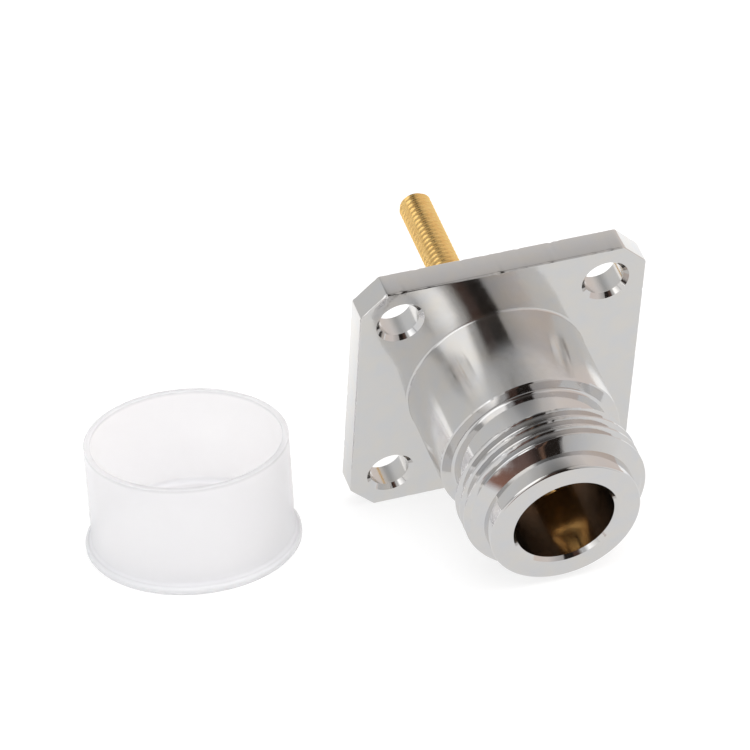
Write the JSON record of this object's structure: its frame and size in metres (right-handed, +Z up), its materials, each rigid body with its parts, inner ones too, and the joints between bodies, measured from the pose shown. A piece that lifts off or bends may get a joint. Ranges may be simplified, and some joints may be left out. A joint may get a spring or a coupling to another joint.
{
  "type": "panel-mount coaxial receptacle with dust cap",
  "caption": "Square-flange panel receptacle for a threaded coaxial plug, with a gold screw stud at the back and its translucent dust cap standing beside it.",
  "frame": {"origin": "middle of the whole part's footprint, on the surface that it rests on", "axes": "+Z up; +X along the lower edge of the flange, from the cap towards the connector; the mating end of the connector points towards -Y and dips, because the connector lies on its flange edge and its thread"},
  "size_m": [0.0486, 0.0402, 0.0249],
  "materials": {
    "nickel": "bright nickel plate over turned brass, faint machining lines",
    "gold": "thin gold plate, satin on the thread",
    "ptfe": "waxy white fluoropolymer",
    "cap_plastic": "milky translucent polyethylene, soft sheen"
  },
  "bodies": {
    "root": {"flange_body": "nickel", "front_insulator": "ptfe", "rear_insulator": "ptfe", "retaining_ring": "nickel", "centre_contact": "gold", "dust_cap": "cap_plastic"}
  },
  "joints": []
}
